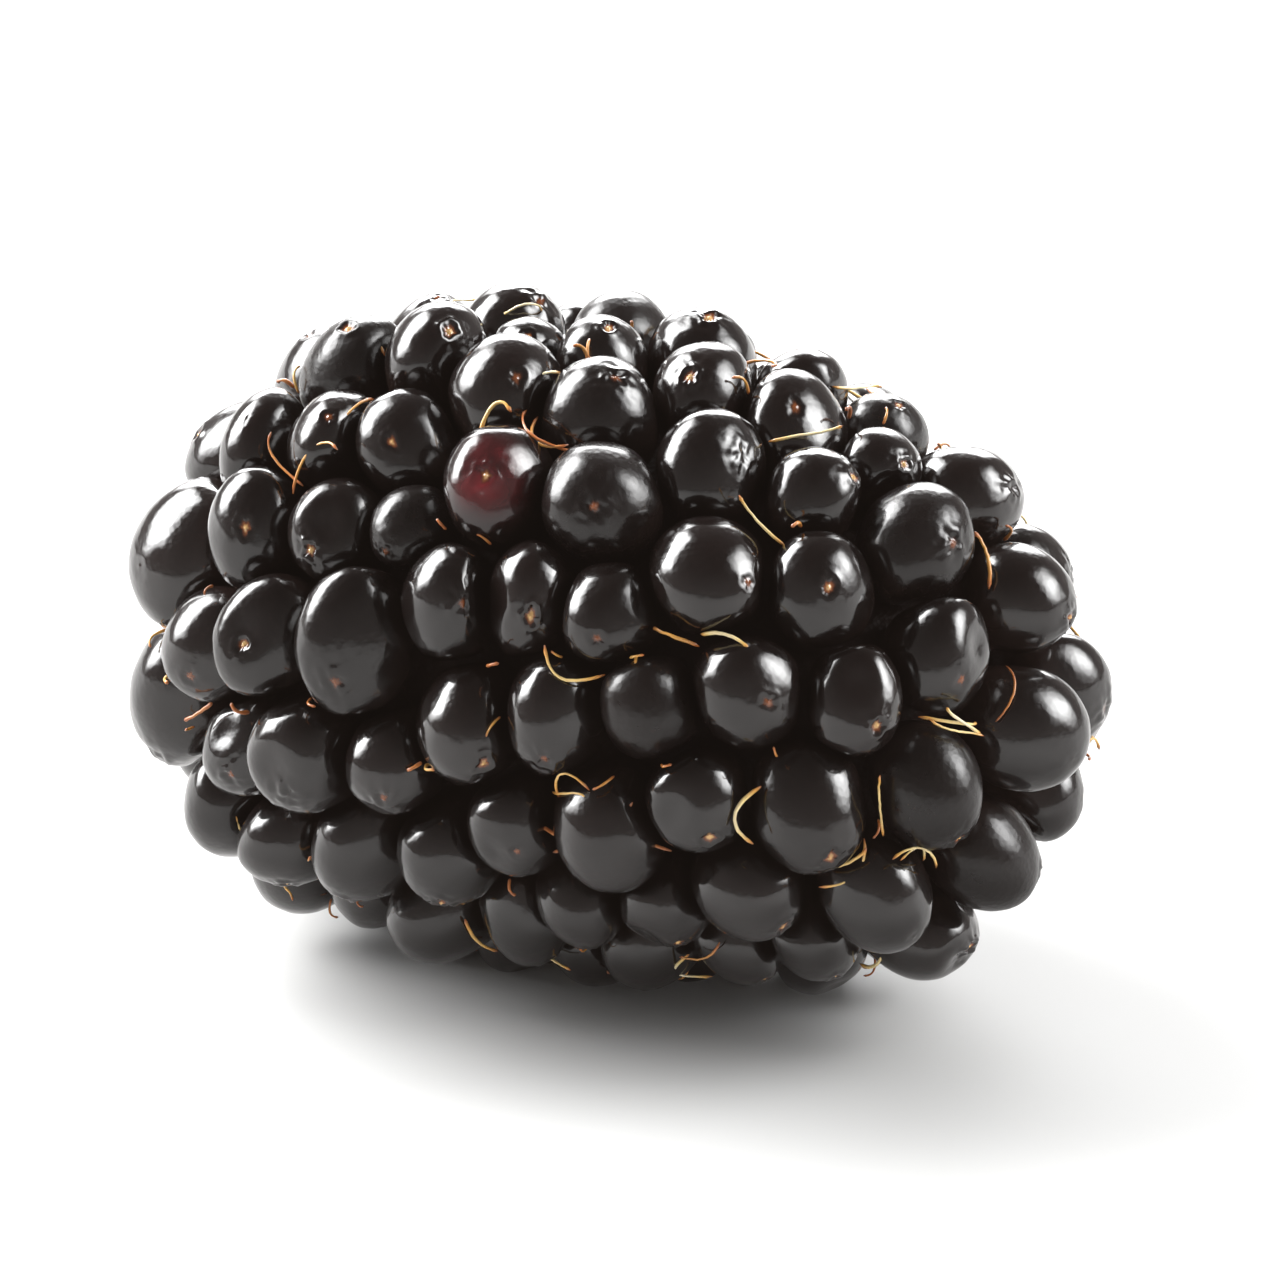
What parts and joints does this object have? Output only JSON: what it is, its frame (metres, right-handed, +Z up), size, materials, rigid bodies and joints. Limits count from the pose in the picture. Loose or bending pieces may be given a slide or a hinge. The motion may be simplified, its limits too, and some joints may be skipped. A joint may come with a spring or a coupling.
{
  "type": "bramble berry",
  "caption": "Picked black bramble berry lying on its side: round drupelets crowded over a blunt oval fruit, with a shallow scar at the stalk end.",
  "frame": {"origin": "middle of the berry's bounding box in X and Y, on the surface it lies on", "axes": "+X along the berry towards its tip, +Z up; the stalk end faces -X"},
  "size_m": [0.0332, 0.0236, 0.0231],
  "materials": {
    "skin": "glossy near-black fruit skin with a faint purple cast",
    "flesh": "pale fibrous receptacle where the stalk broke off",
    "style": "dry golden-brown flower threads"
  },
  "bodies": {
    "root": {"berry": "skin"}
  },
  "joints": []
}
